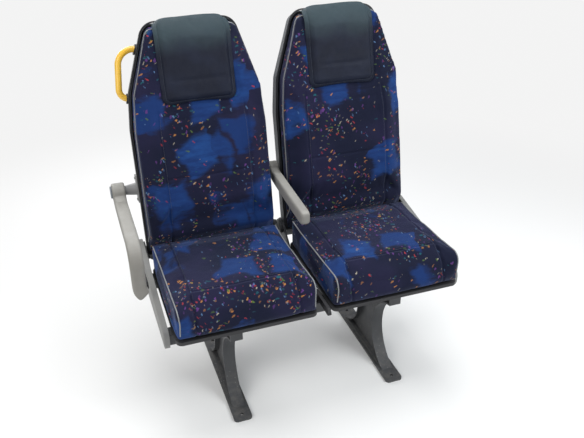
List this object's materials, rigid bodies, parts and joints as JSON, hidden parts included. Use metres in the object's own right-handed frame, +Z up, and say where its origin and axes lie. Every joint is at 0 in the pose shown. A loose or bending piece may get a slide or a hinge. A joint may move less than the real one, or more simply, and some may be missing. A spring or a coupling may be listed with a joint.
{
  "type": "coach twin passenger seat",
  "caption": "Twin coach seat on floor legs with reclining backs, folding armrests, headrest panels and a yellow aisle grab handle.",
  "frame": {"origin": "on the floor, at the middle of the four floor bolts", "axes": "+Z up, the seats face -Y, the aisle is on the -X side and the window on the +X side"},
  "size_m": [1.043, 0.6476, 1.1588],
  "materials": {
    "frame_paint": "dark grey powder coat",
    "black_plastic": "fine-grained moulded plastic",
    "pan_plastic": "ribbed moulded pan",
    "moquette": "cut-pile moquette, dark navy with bright flecks",
    "headrest_leatherette": "smooth dark navy leatherette",
    "shell_plastic": "grained anthracite moulding",
    "grey_plastic": "grained grey moulding",
    "yellow_coat": "smooth yellow plastic coat on steel tube",
    "pocket_net": "elastic net with a hemmed rim",
    "cast_grey": "grey painted casting",
    "armrest_grey": "soft grey-beige moulded foam skin",
    "cap_grey": "bluish grey moulding"
  },
  "bodies": {
    "frame": {"pedestal_aisle": "frame_paint", "pedestal_window": "frame_paint", "front_beam": "frame_paint", "rear_beam": "frame_paint", "beam_caps": "black_plastic", "aisle_seat_pan": "pan_plastic", "window_seat_pan": "pan_plastic", "aisle_cushion": "moquette", "window_cushion": "moquette", "aisle_recline_brackets": "frame_paint", "window_recline_brackets": "frame_paint", "aisle_side_cover": "grey_plastic", "window_side_cover": "grey_plastic", "aisle_recline_lever": "black_plastic", "window_recline_lever": "black_plastic"},
    "aisle_back": {"aisle_back_hinges": "frame_paint", "aisle_back_shell": "shell_plastic", "aisle_back_pad": "moquette", "aisle_head_pad": "headrest_leatherette", "grab_handle": "yellow_coat", "grab_handle_sockets": "black_plastic", "aisle_pocket": "pocket_net", "aisle_arm_bracket": "cast_grey", "centre_arm_bracket": "cast_grey"},
    "window_back": {"window_back_hinges": "frame_paint", "window_back_shell": "shell_plastic", "window_back_pad": "moquette", "window_head_pad": "headrest_leatherette", "window_pocket": "pocket_net"},
    "aisle_arm": {"aisle_armrest": "armrest_grey", "aisle_arm_cap": "cap_grey"},
    "centre_arm": {"centre_armrest": "armrest_grey", "centre_arm_cap": "cap_grey"}
  },
  "joints": [
    {"name": "aisle_recline", "type": "hinge", "parent": "frame", "child": "aisle_back", "pos_m": [-0.242, 0.232, 0.425], "axis": [-1, 0, 0], "range_deg": [0, 20]},
    {"name": "window_recline", "type": "hinge", "parent": "frame", "child": "window_back", "pos_m": [0.242, 0.232, 0.425], "axis": [-1, 0, 0], "range_deg": [0, 20]},
    {"name": "aisle_arm_fold", "type": "hinge", "parent": "aisle_back", "child": "aisle_arm", "pos_m": [-0.527, 0.2767, 0.6353], "axis": [-1, 0, 0], "range_deg": [0, 100]},
    {"name": "centre_arm_fold", "type": "hinge", "parent": "aisle_back", "child": "centre_arm", "pos_m": [0, 0.2767, 0.6353], "axis": [-1, 0, 0], "range_deg": [0, 100]}
  ]
}
